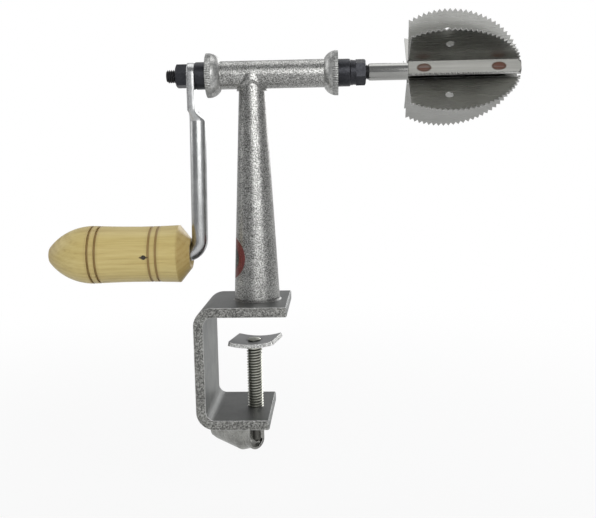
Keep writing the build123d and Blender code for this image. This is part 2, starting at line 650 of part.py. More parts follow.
def lever_form(wall):
    """The lever's outside, or its inside one wall further in: a narrow neck that flares."""
    sections = []
    for along, width, drop in ((0, LEVER_NECK_WIDTH, LEVER_NECK_DROP),
                               (LEVER_NECK, LEVER_NECK_WIDTH, LEVER_NECK_DROP),
                               (LEVER_NECK + LEVER_FLARE, LEVER_WIDTH, LEVER_DROP),
                               (LEVER_LENGTH, LEVER_WIDTH, LEVER_DROP)):
        half, low = width / 2 - wall, drop - wall
        place = Plane(origin=lever_start + lever_along * along, x_dir=lever_across, z_dir=lever_along)
        with BuildSketch(place) as section:
            with BuildLine():
                Polyline((half, low - half), (half, 0), (-half, 0), (-half, low - half))
                ThreePointArc((-half, low - half), (0, low), (half, low - half))
            make_face()
        sections.append(section.sketch)
    with BuildPart() as form:
        for near, far in zip(sections, sections[1:]):
            loft([near, far])
    return form


lever_outside = lever_form(0)
lever_inside = lever_form(LEVER_THICK)

with BuildPart() as thumb_lever:
    add(lever_outside.part)
    add(lever_inside.part, mode=Mode.SUBTRACT)
    with BuildSketch(lever_side_plane):
        with BuildLine():
            Polyline((LEVER_LENGTH, LEVER_DROP - LEVER_CORNER), (LEVER_LENGTH, LEVER_FAR_GAP),
                     (LEVER_TALL + LEVER_SLOPE, LEVER_FAR_GAP), (LEVER_TALL, LEVER_NEAR_GAP),
                     (0, LEVER_NEAR_GAP), (0, LEVER_DROP), (LEVER_LENGTH - LEVER_CORNER, LEVER_DROP))
            RadiusArc((LEVER_LENGTH - LEVER_CORNER, LEVER_DROP),
                      (LEVER_LENGTH, LEVER_DROP - LEVER_CORNER), -LEVER_CORNER)
        make_face()
    extrude(amount=LEVER_WIDTH, both=True, mode=Mode.INTERSECT)
save(thumb_lever, "thumb_lever")

with BuildPart() as lever_tacks:
    tack_z = lower_under_z - (SCREW_BELOW_ARM + TENON_LENGTH / 2)
    for way in (1, -1):
        spot = lever_across * (TENON_D / 2 - TACK_D / 4) + lever_along * (way * TENON_D / 2)
        with Locations((spot.X, spot.Y, tack_z)):
            Cylinder(TACK_D / 2, TACK_LENGTH)
    Cylinder(TENON_D / 2, 4 * PAD_TOP + 4 * JAW_OPENING, mode=Mode.SUBTRACT)
    add(thumb_lever.part, mode=Mode.SUBTRACT)
save(lever_tacks, "lever_tacks")
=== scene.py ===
# %% [markdown]
# # Hand crank coconut grater
# A dome of toothed blades on a cranked spindle, carried by a tapered post on a table clamp.
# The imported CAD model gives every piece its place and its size. This script dresses it: it turns
# the threads, cuts the detail that is too fine for CAD, and gives each surface its finish.

# %% Load the frame
from math import cos, pi, radians, sin, sqrt
import bmesh
import bpy
from mathutils import Matrix, Vector


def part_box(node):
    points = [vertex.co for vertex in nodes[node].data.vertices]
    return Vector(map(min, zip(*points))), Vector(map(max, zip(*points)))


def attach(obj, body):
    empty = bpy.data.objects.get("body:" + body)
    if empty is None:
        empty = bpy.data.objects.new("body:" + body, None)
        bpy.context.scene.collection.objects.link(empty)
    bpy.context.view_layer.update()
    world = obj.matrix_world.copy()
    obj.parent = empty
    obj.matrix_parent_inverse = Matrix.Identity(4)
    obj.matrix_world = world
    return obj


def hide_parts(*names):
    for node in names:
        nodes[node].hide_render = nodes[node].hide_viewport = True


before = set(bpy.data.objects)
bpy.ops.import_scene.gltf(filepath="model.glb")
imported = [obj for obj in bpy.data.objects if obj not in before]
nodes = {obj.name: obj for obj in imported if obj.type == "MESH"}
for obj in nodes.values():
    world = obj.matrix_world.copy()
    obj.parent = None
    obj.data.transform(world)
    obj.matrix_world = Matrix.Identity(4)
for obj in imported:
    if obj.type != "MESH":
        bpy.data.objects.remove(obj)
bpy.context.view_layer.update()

MM = 0.001

# %% [markdown]
# ## Camera
# The photograph was taken from a little above the table face and slightly right of the post, with
# a moderate lens. A camera fitted to the straight edges of the clamp, the post and the spindle
# gives the numbers below. Yaw, pitch and roll are applied in that order, so each can be judged by
# itself: pitch tilts the view down, and the small roll is why the post leans in the picture.

# %% Place the camera
CAMERA_PLACE = Vector((50.5, -499.5, 98.9)) * MM
CAMERA_LENS, SENSOR_WIDTH = 48.07, 36.0
CAMERA_YAW, CAMERA_PITCH, CAMERA_ROLL = -2.438, 7.697, -1.089

camera_data = bpy.data.cameras.new("camera")
camera_data.lens = CAMERA_LENS
camera_data.sensor_width = SENSOR_WIDTH
camera = bpy.data.objects.new("camera", camera_data)
bpy.context.scene.collection.objects.link(camera)
camera.matrix_world = (
    Matrix.Translation(CAMERA_PLACE)
    @ Matrix.Rotation(radians(-CAMERA_YAW), 4, "Z")
    @ Matrix.Rotation(radians(90 - CAMERA_PITCH), 4, "X")
    @ Matrix.Rotation(radians(CAMERA_ROLL), 4, "Z")
)
bpy.context.scene.camera = camera
bpy.context.scene.view_settings.view_transform = "Standard"
print("camera at", tuple(round(v, 4) for v in CAMERA_PLACE))

# %% [markdown]
# ## Writing materials as sums
# A material is a graph of nodes. They could be wired one by one, but that is slow to read, so a
# small class wraps a socket and turns ordinary arithmetic into Math nodes. `above` is the one
# extra: a soft step, which draws every mask in this script.

# %% Sums on sockets
class Value:
    """An output socket that takes part in ordinary sums."""

    def __init__(self, graph, socket):
        self.graph, self.socket = graph, socket

    def math(self, operation, *others):
        values = dict(enumerate((self, *others)))
        return self.graph.node("ShaderNodeMath", {"operation": operation}, values)

    def __add__(self, other): return self.math("ADD", other)
    def __radd__(self, other): return self.math("ADD", other)
    def __sub__(self, other): return self.math("SUBTRACT", other)
    def __rsub__(self, other): return self.graph.number(other).math("SUBTRACT", self)
    def __mul__(self, other): return self.math("MULTIPLY", other)
    def __rmul__(self, other): return self.math("MULTIPLY", other)
    def __truediv__(self, other): return self.math("DIVIDE", other)
    def __pow__(self, other): return self.math("POWER", other)
    def __neg__(self): return self.math("MULTIPLY", -1.0)

    def above(self, edge, soft=0.001):
        """0 below edge, 1 above it, with a soft step."""
        return self.graph.node(
            "ShaderNodeMapRange", {"interpolation_type": "SMOOTHSTEP"},
            {"Value": self, "From Min": edge - soft, "From Max": edge + soft})


print("sums ready")

# %% [markdown]
# ## A graph of nodes
# Everything that isn't a sum comes from one method, `node`, which makes any node from its type,
# its settings and its input values. The short methods after it are the patterns that the finishes
# share: where a point lies on the piece, noise of a given size in metres, a ramp of colours,
# relief of a given depth, and a mask of the edges. They all read the piece's own coordinates, so a
# pattern stays on its piece when the piece moves.

# %% Graph builder
BEVEL_SAMPLES = 6
EDGE_BEND = 0.06


class Graph:
    """The nodes of one material, or of the world."""

    def __init__(self, tree):
        self.tree = tree

    def give(self, node, values):
        for key, value in values.items():
            key = key.replace("_", " ") if isinstance(key, str) else key
            if isinstance(value, Value):
                self.tree.links.new(value.socket, node.inputs[key])
            else:
                node.inputs[key].default_value = value

    def node(self, kind, settings=None, values=None, output=0):
        node = self.tree.nodes.new(kind)
        for key, value in (settings or {}).items():
            if key == "stops":
                ramp = node.color_ramp.elements
                while len(ramp) < len(value):
                    ramp.new(0.5)
                for element, (position, colour) in zip(ramp, value):
                    element.position, element.color = position, (*colour, 1.0)
            else:
                setattr(node, key, value)
        self.give(node, values or {})
        return Value(self, node.outputs[output])

    def number(self, value):
        node = self.tree.nodes.new("ShaderNodeValue")
        node.outputs[0].default_value = value
        return Value(self, node.outputs[0])

    def place(self, location=(0, 0, 0), rotation=(0, 0, 0), scale=(1, 1, 1)):
        """Object coordinates, centred and turned for a pattern."""
        where = self.node("ShaderNodeTexCoord", output="Object")
        return self.node("ShaderNodeMapping", {"vector_type": "TEXTURE"}, {
            "Vector": where, "Location": location, "Rotation": rotation, "Scale": scale})

    def axes(self, vector):
        """The three numbers of a vector."""
        node = self.node("ShaderNodeSeparateXYZ", values={"Vector": vector}).socket.node
        return [Value(self, node.outputs[index]) for index in range(3)]

    def noise(self, vector, size, detail=3.0, rough=0.55):
        """Noise whose features are about size metres across."""
        return self.node("ShaderNodeTexNoise", values={
            "Vector": vector, "Scale": 1.0 / size, "Detail": detail, "Roughness": rough})

    def ramp(self, value, *stops):
        """Colours along a value from 0 to 1."""
        return self.node("ShaderNodeValToRGB", {"stops": stops}, {"Fac": value})

    def blend(self, factor, first, second):
        """Mix two colours."""
        mix = self.tree.nodes.new("ShaderNodeMix")
        mix.data_type = "RGBA"
        colours = [c if isinstance(c, Value) else (*c, 1.0) for c in (first, second)]
        self.give(mix, {0: factor, 6: colours[0], 7: colours[1]})
        return Value(self, mix.outputs[2])

    def bump(self, height, distance, strength=1.0, normal=None):
        """Relief of a given depth in metres."""
        values = {"Height": height, "Distance": distance, "Strength": strength}
        if normal:
            values["Normal"] = normal
        return self.node("ShaderNodeBump", values=values)

    def edges(self, radius):
        """Normal rounded over edges, and a mask that is 1 on them."""
        rounded = self.node("ShaderNodeBevel", {"samples": BEVEL_SAMPLES}, {"Radius": radius})
        flat = self.node("ShaderNodeNewGeometry", output="Normal")
        same = self.node("ShaderNodeVectorMath", {"operation": "DOT_PRODUCT"},
                         {0: rounded, 1: flat}, output="Value")
        return rounded, (1.0 - same).above(EDGE_BEND, EDGE_BEND)

    def to_background(self, mask):
        """1 for camera rays, and a share for mirrored and refracted rays where the mask is 1."""
        rays = ("Is Camera Ray", "Is Glossy Ray", "Is Transmission Ray")
        camera, glossy, clear = [self.node("ShaderNodeLightPath", output=ray) for ray in rays]
        return camera, glossy.math("MAXIMUM", clear) * mask * MIRRORED_SHARE


print("graph builder ready")

# %% [markdown]
# ## A finish
# A finish is a graph with a Principled shader in it. Values that stay the same all over the
# surface are given when the finish starts. Those that vary are given at its end, and they only
# drive colour, roughness, metallic, coat weight and the normal, which can all be baked later.

# %% Finish
class Finish(Graph):
    """A procedural material for one finish of the object."""

    def __init__(self, name, **shader_values):
        self.material = bpy.data.materials.new(name)
        self.material.use_nodes = True
        super().__init__(self.material.node_tree)
        self.shader = self.tree.nodes["Principled BSDF"]
        self.give(self.shader, shader_values)

    def finish(self, **values):
        self.give(self.shader, values)
        return self.material


print("finish builder ready")

# %% [markdown]
# ## Floor and backdrop
# The photograph is a cut-out on pure white. A pale floor lies well below the lever, and the world
# stands for the wall behind it. Both show as plain white to the camera, at a strength of 1, and a
# share of ordinary shading round the object lets the floor keep its shadow. Mirrored rays see that
# white too, at MIRRORED_SHARE, where they run to the back. Those that run to the front see the
# room instead, which is dimmer, and that is what draws the dark bands on round metal.

# %% Floor and backdrop
FLOOR_Z = -150 * MM
STAGE_SIZE = 6.0
SHADOW_SHARE, SHADOW_REACH, SHADOW_FADE = 0.16, 0.5, 0.35
MIRRORED_SHARE = 0.45
FLOOR_BACK, WALL_BACK, BACK_FADE = 0.1, 0.25, 0.35
ROOM_LIGHT, ROOM_TINT = 0.30, (0.97, 0.98, 1.0, 1)
WHITE = (1, 1, 1, 1)


def floor_finish():
    """White to the camera, with a share of ordinary shading for the shadow."""
    finish = Finish("floor_white", Base_Color=(0.8, 0.8, 0.8, 1), Roughness=0.9)
    x, y, z = finish.axes(finish.place())
    away = (x * x + y * y) ** 0.5
    shadow = (1.0 - away.above(SHADOW_REACH, SHADOW_FADE)) * SHADOW_SHARE
    camera, mirrored = finish.to_background(y.above(FLOOR_BACK, BACK_FADE))
    white = finish.node("ShaderNodeEmission", values={"Color": WHITE, "Strength": 1.0})
    mix = finish.tree.nodes.new("ShaderNodeMixShader")
    finish.give(mix, {0: (camera * (1.0 - shadow)).math("MAXIMUM", mirrored), 2: white})
    finish.tree.links.new(finish.shader.outputs[0], mix.inputs[1])
    finish.tree.links.new(mix.outputs[0], finish.tree.nodes["Material Output"].inputs["Surface"])
    return finish.material


floor_mesh = bmesh.new()
bmesh.ops.create_grid(floor_mesh, x_segments=1, y_segments=1, size=STAGE_SIZE)
floor_data = bpy.data.meshes.new("floor")
floor_mesh.to_mesh(floor_data)
floor_mesh.free()
floor_data.transform(Matrix.Translation((0, 0, FLOOR_Z)))
floor_data.materials.append(floor_finish())
floor = bpy.data.objects.new("floor", floor_data)
bpy.context.scene.collection.objects.link(floor)

world = bpy.data.worlds.new("studio")
bpy.context.scene.world = world
world.use_nodes = True
sky = Graph(world.node_tree)
direction = sky.axes(sky.node("ShaderNodeTexCoord", output="Generated"))
camera_rays, mirrored_rays = sky.to_background(direction[1].above(WALL_BACK, BACK_FADE))
room = sky.tree.nodes["Background"]
sky.give(room, {"Color": ROOM_TINT, "Strength": ROOM_LIGHT})
wall = sky.node("ShaderNodeBackground", values={"Color": WHITE, "Strength": 1.0})
shown_white = camera_rays.math("MAXIMUM", mirrored_rays)
sky_mix = sky.node("ShaderNodeMixShader", values={0: shown_white, 2: wall})
sky.tree.links.new(room.outputs[0], sky_mix.socket.node.inputs[1])
sky.tree.links.new(sky_mix.socket, sky.tree.nodes["World Output"].inputs["Surface"])
print("floor at", round(FLOOR_Z, 3), "m, room light", ROOM_LIGHT)

# %% [markdown]
# ## Lamps
# Large area lamps stand for soft boxes. Metal is mostly a picture of what stands round it, so
# where they are matters more than how strong they are. The biggest stands in front, a little to
# the right and well above the camera, which puts the bright line where the post and the spindle
# have it. The other three only lift the sides that it leaves dark.

# %% Soft boxes
MIDDLE = (0.0, 0.0, 0.06)


def soft_box(name, place, width, height, power):
    """Area lamp at place, turned to the middle of the grater. Metres and watts."""
    lamp = bpy.data.lights.new(name, "AREA")
    lamp.shape, lamp.size, lamp.size_y, lamp.energy = "RECTANGLE", width, height, power
    box = bpy.data.objects.new(name, lamp)
    bpy.context.scene.collection.objects.link(box)
    aim = Vector(MIDDLE) - Vector(place)
    turned = aim.to_track_quat("-Z", "Y").to_matrix().to_4x4()
    box.matrix_world = Matrix.Translation(place) @ turned
    print(name, width, "x", height, "m,", power, "W")


soft_box("front_box", (0.50, -1.30, 0.55), 1.4, 1.0, 15)
soft_box("left_box", (-1.3, 0.1, 0.6), 0.8, 1.1, 3)
soft_box("top_box", (0.1, 0.2, 1.3), 1.3, 0.9, 5)
soft_box("back_box", (0.6, 1.2, 0.5), 1.0, 0.8, 6)

# %% [markdown]
# ## Sizes of the pieces
# The new pieces have to sit exactly where the CAD pieces sit, so their sizes are read from the CAD
# nodes' own boxes wherever that is possible. `low` and `high` give a node's lowest and highest
# corner in millimetres, which is also the unit that the mesh helpers below work in.

# %% Read places from the frame
def low(node):
    """Lowest corner of a CAD node, in millimetres."""
    return Vector(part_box(node)[0]) / MM


def high(node):
    """Highest corner of a CAD node, in millimetres."""
    return Vector(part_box(node)[1]) / MM


SPINDLE_Z = (low("bearing_tube").z + high("bearing_tube").z) / 2
GRIP_Z = (low("wooden_grip").z + high("wooden_grip").z) / 2
CUTTER_BACK, CUTTER_NOSE = low("blade_1").x, high("blade_1").x
print("spindle at", round(SPINDLE_Z, 2), "grip at", round(GRIP_Z, 2),
      "cutter from", round(CUTTER_BACK, 1), "to", round(CUTTER_NOSE, 1))

# %% [markdown]
# ## Mesh helpers
# Each new piece starts as a bmesh in millimetres and is scaled once at the end, so that its object
# sits at the origin, unturned and unscaled. A turned piece is an outline spun round an axis. A
# thread is the same spin with a step along the axis at every angle, so the outline of one pitch
# climbs as it goes round and its end meets its own start one turn on.

# %% Turn outlines and finish pieces
TURN_STEPS = 64
MERGE_DISTANCE = 0.001
SMOOTH_ANGLE = 35.0


def outline(bm, points):
    """A chain of edges in the XZ plane through (x, z) points. Returns its parts for spin."""
    verts = [bm.verts.new((x, 0, z)) for x, z in points]
    edges = [bm.edges.new(pair) for pair in zip(verts, verts[1:])]
    return verts + edges


def turn(bm, points):
    """Spin an outline all the way round the Z axis."""
    bmesh.ops.spin(bm, geom=outline(bm, points), cent=(0, 0, 0), axis=(0, 0, 1), dvec=(0, 0, 0),
                   angle=2 * pi, steps=TURN_STEPS, use_merge=True)
    bmesh.ops.remove_doubles(bm, verts=bm.verts, dist=MERGE_DISTANCE)


def close_and_face(bm):
    """Close open rims, then make every face look outwards."""
    rims = [edge for edge in bm.edges if edge.is_boundary]
    if rims:
        bmesh.ops.holes_fill(bm, edges=rims, sides=0)
    bmesh.ops.recalc_face_normals(bm, faces=bm.faces)


def make_piece(name, bm, body, material, stands_for=()):
    """Scale a bmesh to metres, make it an object that rides a body, and give it its finish."""
    bmesh.ops.scale(bm, vec=(MM, MM, MM), verts=bm.verts)
    mesh = bpy.data.meshes.new(name)
    bm.to_mesh(mesh)
    bm.free()
    mesh.materials.append(material)
    mesh.shade_smooth()
    mesh.set_sharp_from_angle(angle=radians(SMOOTH_ANGLE))
    piece = bpy.data.objects.new(name, mesh)
    bpy.context.scene.collection.objects.link(piece)
    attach(piece, body)
    if stands_for:
        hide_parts(*stands_for)
    print(name, len(mesh.polygons), "faces")


def paint(material, *names):
    """Give CAD nodes a finish."""
    for name in names:
        node = nodes[name]
        node.data.materials.clear()
        node.data.materials.append(material)
    print(material.name, "on", ", ".join(names))


print("mesh helpers ready")

# %% [markdown]
# ## Hammertone paint
# The post and the tube are sprayed with hammertone enamel. Its leafing aluminium gathers in small
# dimples as the paint dries, so up close it is light flecks on grey, each under a millimetre. A
# picture of real paint would need unwrapping and would show its seams, so noise is used. One at
# the size of the flecks drives the colour and the dimples, a finer one breaks them up, and a slow
# one gives the unevenness of a sprayed coat. The weld round the post's foot is painted dark, as
# painted shade at the foot of the post.

# %% Hammertone
FLECK_SIZE, GRAIN_SIZE, SPRAY_SIZE = 0.75 * MM, 0.4 * MM, 9 * MM
FOOT_SHADE_TOP = 7.4


def hammertone():
    """Light flecks on grey, dimpled, and painted shade on the weld round the post's foot."""
    enamel = Finish("hammer_paint", IOR=1.5, Coat_Roughness=0.35, Metallic=0.8)
    where = enamel.place()
    fleck = enamel.noise(where, FLECK_SIZE, detail=2.0, rough=0.7)
    grain = enamel.noise(where, GRAIN_SIZE, detail=1.0)
    spray = enamel.noise(where, SPRAY_SIZE, detail=2.0)
    tone = fleck * 0.7 + grain * 0.2 + spray * 0.1
    colour = enamel.ramp(tone, (0.37, (0.06, 0.06, 0.058)), (0.46, (0.20, 0.20, 0.192)),
                         (0.54, (0.38, 0.38, 0.366)), (0.64, (0.66, 0.66, 0.64)))
    # Painted shade: darker on the weld round the post's foot.
    foot_shade = 1.0 - (enamel.axes(where)[2] / MM).above(FOOT_SHADE_TOP, 0.7)
    colour = enamel.blend(foot_shade * 0.75, colour, (0.05, 0.05, 0.047))
    relief = enamel.bump(fleck * 0.7 + grain * 0.3, 0.16 * MM, strength=0.5)
    return enamel.finish(Base_Color=colour, Roughness=0.42 - fleck * 0.16, Normal=relief,
                         Coat_Weight=0.15)


paint(hammertone(), "tapered_post", "bearing_tube", "post_head_weld", "post_foot_weld")

# %% [markdown]
# ## Strap enamel
# The strap has a thinner coat of the same enamel. Its broad faces dried smooth, and the cut edges
# of the bar are rough and took the flecks. The direction a face looks in tells them apart: cut
# edges look along Y. Faces that look up are darkened as painted shade, and the rounded corners
# are made bright as a painted highlight. Two materials on one strap would do as well, but then
# the border between them would be sharp.

# %% Strap enamel
def strap_enamel():
    """Smooth broad faces, speckled cut edges, painted shade on top, painted highlight on rims."""
    coat = Finish("strap_paint", Metallic=0.6, IOR=1.5)
    where = coat.place()
    fleck = coat.noise(where, 0.8 * MM, detail=2.0, rough=0.7)
    spray = coat.noise(where, 14 * MM, detail=2.0)
    rounded, rim = coat.edges(0.7 * MM)
    facing = coat.axes(coat.node("ShaderNodeNewGeometry", output="Normal"))
    cut = (facing[1] * facing[1]).above(0.5, 0.2)
    upward = facing[2].above(0.5, 0.3)
    speckled = coat.ramp(fleck * 0.85 + spray * 0.15, (0.36, (0.045, 0.045, 0.042)),
                         (0.46, (0.14, 0.14, 0.132)), (0.55, (0.26, 0.26, 0.245)),
                         (0.66, (0.46, 0.46, 0.44)))
    smooth = coat.ramp(fleck * 0.35 + spray * 0.65, (0.35, (0.15, 0.155, 0.15)),
                       (0.65, (0.23, 0.236, 0.225)))
    # Painted shade: faces that look up are darkened.
    smooth = coat.blend(upward * 0.6, smooth, (0.045, 0.046, 0.046))
    colour = coat.blend(cut, smooth, speckled)
    # Painted highlight: the rounded corners are made bright.
    colour = coat.blend(rim * 0.8, colour, (0.74, 0.74, 0.73))
    relief = coat.bump(fleck * (0.2 + cut * 0.8), 0.12 * MM, strength=0.5, normal=rounded)
    return coat.finish(Base_Color=colour, Roughness=0.5 - fleck * 0.12, Normal=relief)


paint(strap_enamel(), "clamp_strap")

# %% [markdown]
# ## Pressed cups
# The two cups are pressed from sheet and dusted with grey overspray from the post. A band of fine
# ribs runs round each mouth. The ribs could be cut into the mesh, but they are only a quarter of a
# millimetre high, so relief in the finish does. The angle round the spindle, put through a sine,
# gives the ribs, and the distance from the mouth and from the spindle says where they stop. The
# valleys between the ribs are painted dark, as painted shade.

# %% Cup finish
RIB_COUNT, RIB_BAND, RIB_FROM_R = 78.0, 3.4, 12.0


def cup_finish():
    """Pressed steel, grey overspray, fine ribs round each mouth and painted shade between them."""
    cup = Finish("cup_steel")
    fleck = cup.noise(cup.place(), 1.2 * MM, detail=2.0, rough=0.7)
    cloud = cup.noise(cup.place(), 6 * MM, detail=2.0)
    rounded = cup.edges(0.5 * MM)[0]
    along, across, up = cup.axes(cup.place(location=(0, 0, SPINDLE_Z * MM)))
    ribbed = 0.0
    for mouth in (low("cup_left").x, high("cup_right").x):
        ribbed = (1.0 - (along / MM - mouth).math("ABSOLUTE").above(RIB_BAND, 0.3)) + ribbed
    radius = (across * across + up * up) ** 0.5 / MM
    ribbed = ribbed * radius.above(RIB_FROM_R, 0.4)
    rib = (up.math("ARCTAN2", across) * RIB_COUNT).math("SINE") * 0.5 + 0.5
    tone = fleck * 0.5 + cloud * 0.5
    colour = cup.ramp(tone, (0.38, (0.22, 0.222, 0.216)), (0.5, (0.42, 0.422, 0.41)),
                      (0.62, (0.62, 0.62, 0.605)))
    # Painted shade in the valleys between the ribs.
    colour = cup.blend(ribbed * (1.0 - rib) * 0.6, colour, (0.05, 0.05, 0.05))
    relief = cup.bump(fleck, 0.1 * MM, strength=0.4, normal=rounded)
    relief = cup.bump(rib * ribbed, 0.25 * MM, strength=0.8, normal=relief)
    return cup.finish(Base_Color=colour, Metallic=0.85, Roughness=0.40 - fleck * 0.1,
                      Normal=relief)


paint(cup_finish(), "cup_left", "cup_right", "dust_cap_left", "dust_cap_right")

# %% [markdown]
# ## Plain metals
# Most other pieces are steel with one of a few finishes: blackened nuts and cones, bright hardened
# balls, dull cages. One function makes them all. Base colour, roughness and the size of the fine
# scratches tell them apart, and the mask of the edges shows where the finish has worn through.

# %% Steel finishes
def steel(name, dark, light, rough, lay=(1, 1, 1), grain=0.6, relief=0.02, edge=0.25,
          worn=(0.75, 0.75, 0.74), round_off=0.35, metal=1.0, blotch=8.0):
    """Metal from dark to light, with grain stretched along lay and edges worn towards worn."""
    skin = Finish(name, Metallic=metal)
    fine = skin.noise(skin.place(scale=lay), grain * MM, detail=3.0, rough=0.65)
    cloud = skin.noise(skin.place(), blotch * MM, detail=2.0)
    rounded, rim = skin.edges(round_off * MM)
    colour = skin.blend((fine * 0.5 + cloud * 0.5).above(0.5, 0.16), dark, light)
    colour = skin.blend(rim * edge, colour, worn)
    return skin.finish(
        Base_Color=colour, Roughness=rough - fine * 0.12 + cloud * 0.06,
        Normal=skin.bump(fine, relief * MM, strength=0.6, normal=rounded))


paint(steel("black_oxide", (0.022, 0.023, 0.027), (0.045, 0.046, 0.052), 0.42, grain=1.2,
            edge=0.18, worn=(0.20, 0.20, 0.21), metal=0.8),
      "cone_left", "cone_right", "key_washer", "spring_washer", "lock_nut", "crank_nut")
paint(steel("bearing_steel", (0.62, 0.62, 0.62), (0.68, 0.68, 0.68), 0.14, edge=0.0),
      "balls_left", "balls_right")
paint(steel("cage_steel", (0.40, 0.41, 0.38), (0.48, 0.49, 0.45), 0.3),
      "ball_cage_left", "ball_cage_right")

# %% [markdown]
# ## Zinc plated crank
# The crank is a bent rod, flattened at the top where it sits on the spindle, and bright zinc
# plated. Plating keeps the faint lines that drawing the rod left along it, so the scratches are
# stretched in Z, and a wide rounding of the normals softens the flat eye's edges.

# %% Crank finish
paint(steel("crank_zinc", (0.42, 0.425, 0.425), (0.60, 0.605, 0.605), 0.27, lay=(1, 1, 16),
            grain=0.7, relief=0.003, edge=0.1, round_off=2.2), "crank_arm")

# %% [markdown]
# ## Turned wooden grip
# Pale straight-grained wood, turned on a lathe and lacquered. The grain runs along the grip, so
# the noise is stretched in X. Two pairs of grooves were burnt brown with a wire held against the
# spinning wood, and scorch fades away beside each groove. The chamfer, where the crank rod meets
# it, is darkened as painted shade, and the wood is darker towards the nose. Grooves are rings at
# fixed places along X, so the distance to each is plain arithmetic. A dark split, painted shade,
# shows where the nail went in, on the side to the front.

# %% Wood finish
GRIP_FACE_X = high("wooden_grip").x
RING_PLACES = (19.8, 24.3, 57.8, 62.3)
CHAMFER_END, NOSE_START = 7.0, 86.0
SPLIT_PLACE, SPLIT_LONG, SPLIT_TALL = 27.2, 2.9, 0.9
LOG_CENTRE = (0, 12 * MM, (GRIP_Z - 34) * MM)


def wood():
    """Straight-grained wood, burnt grooves, darker nose, painted shade on chamfer and split."""
    grip = Finish("turned_wood", Metallic=0.0, IOR=1.45, Coat_Roughness=0.25)
    along, across, up = grip.axes(grip.place(location=(0, 0, GRIP_Z * MM)))
    fibre = grip.noise(grip.place(scale=(26, 1, 1)), 0.9 * MM, detail=4.0, rough=0.7)
    streak = grip.noise(grip.place(scale=(12, 1, 1)), 4.5 * MM, detail=3.0)
    ring = grip.node("ShaderNodeTexWave", {
        "wave_type": "RINGS", "rings_direction": "X"}, {
        "Vector": grip.place(location=LOG_CENTRE, scale=(18, 1, 1)),
        "Scale": 105.0, "Distortion": 3.5, "Detail": 2.0, "Detail Scale": 1.0}, output="Fac")
    grain = fibre * 0.50 + streak * 0.40 + ring * 0.10
    colour = grip.ramp(grain, (0.30, (0.39, 0.285, 0.095)), (0.48, (0.52, 0.41, 0.155)),
                       (0.70, (0.60, 0.495, 0.215)))
    from_face = (GRIP_FACE_X * MM - along) / MM
    groove, scorch = 0.0, 0.0
    for place in RING_PLACES:
        away = (from_face - place).math("ABSOLUTE")
        groove = (1.0 - away.above(0.75, 0.4)) + groove
        scorch = (1.0 - away.above(1.6, 1.5)) + scorch
    groove, scorch = groove.math("MINIMUM", 1.0), scorch.math("MINIMUM", 1.0)
    chamfer = 1.0 - from_face.above(CHAMFER_END, 1.2)
    nose = from_face.above(NOSE_START, 7.0)
    split_along, split_up = (from_face - SPLIT_PLACE) / SPLIT_LONG, up / (SPLIT_TALL * MM)
    split_shade = 1.0 - ((split_along * split_along + split_up * split_up) ** 0.5).above(0.9, 0.25)
    split_shade = split_shade * (-across).above(0.0, 0.001)
    fuzz = 0.55 + fibre * 0.5
    colour = grip.blend(scorch * 0.35 * fuzz, colour, (0.24, 0.145, 0.045))
    colour = grip.blend(groove * 0.75, colour, (0.25, 0.145, 0.045))
    # Painted shade on the chamfer, where the crank rod meets the grip.
    colour = grip.blend(chamfer * 0.5 * fuzz, colour, (0.27, 0.15, 0.045))
    # Darker towards the nose.
    colour = grip.blend(nose * 0.35 * fuzz, colour, (0.27, 0.15, 0.06))
    # Painted shade: the split round the nail is dark.
    colour = grip.blend(split_shade * 0.9, colour, (0.03, 0.012, 0.006))
    return grip.finish(
        Base_Color=colour, Roughness=0.5 - fibre * 0.1, Coat_Weight=0.2,
        Normal=grip.bump(fibre * 0.8 + ring * 0.2, 0.04 * MM, strength=0.35))


paint(wood(), "wooden_grip")
paint(steel("nail_steel", (0.05, 0.045, 0.04), (0.10, 0.09, 0.08), 0.5), "grip_nail")

# %% [markdown]
# ## Stainless blades
# The four blades are folded from stainless sheet, so they have a fine brushed lay along the
# spindle, bright cut teeth, painted highlight lines on the folds, and two brown heat marks on each
# web where it was spot welded to the shaft. Each mark is an ellipse in X and in the distance
# across the web.
# Object coordinates turned to the webs' direction give that distance. The webs stand square to
# each other, so taking the smaller of the two distances serves all four with one formula.

# %% Blade finish
WELD_PLACES = (CUTTER_BACK + 9.4, CUTTER_BACK + 54.2)
MARK_LONG, MARK_WIDE = 4.6, 2.7
BLADE_TURN, WEB_REACH, FOLD_AT = 13.0, 6.6, 4.9


